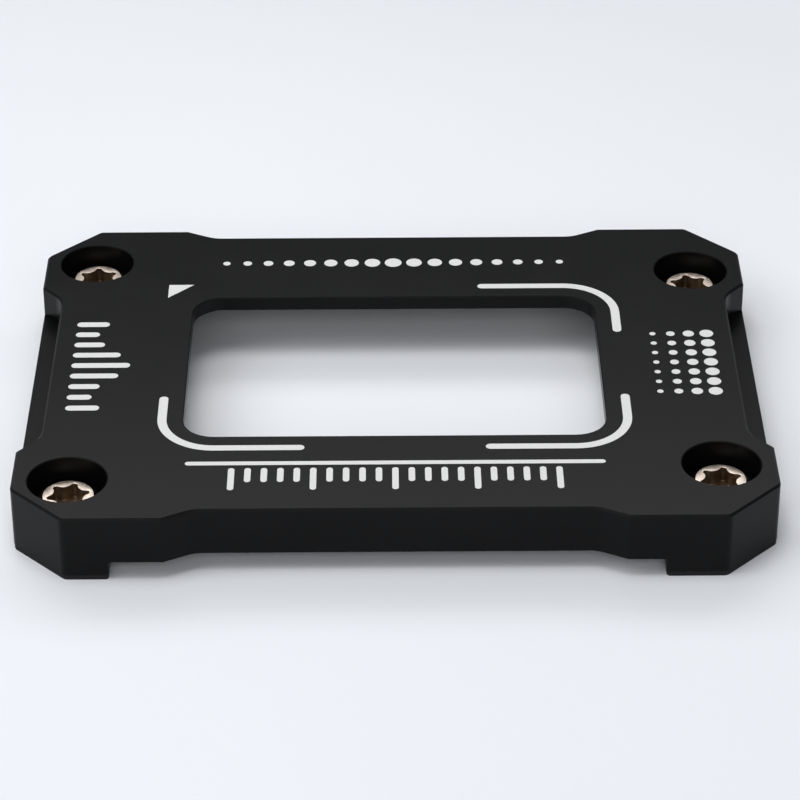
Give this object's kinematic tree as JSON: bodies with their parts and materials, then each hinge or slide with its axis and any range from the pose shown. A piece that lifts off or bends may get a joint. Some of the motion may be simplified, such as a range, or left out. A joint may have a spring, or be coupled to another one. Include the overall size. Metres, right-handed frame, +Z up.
{
  "type": "cpu socket retention frame",
  "caption": "Black anodised aluminium frame that screws down round a processor socket and presses evenly on the processor's rim through its lipped window.",
  "frame": {"origin": "on the board's surface, under the middle of the processor's window; the foot pads stand on this plane and the screws reach below it", "axes": "+Z up, away from the board; +X along the long side, towards the end where the screws stand closer together; +Y along the short side, towards the rear"},
  "size_m": [0.07, 0.0522, 0.0099],
  "materials": {
    "anodised_frame": "fine bead-blasted, black anodised, satin",
    "plated_screw": "bright nickel plate on steel",
    "insulating_pad": "matt black insulating sheet",
    "white_marking": "matt white marking on the anodised face"
  },
  "bodies": {
    "root": {"frame": "anodised_frame", "screw_front_left": "plated_screw", "screw_front_right": "plated_screw", "screw_rear_left": "plated_screw", "screw_rear_right": "plated_screw", "pad_front_left": "insulating_pad", "pad_front_right": "insulating_pad", "pad_rear_left": "insulating_pad", "pad_rear_right": "insulating_pad"}
  },
  "joints": []
}
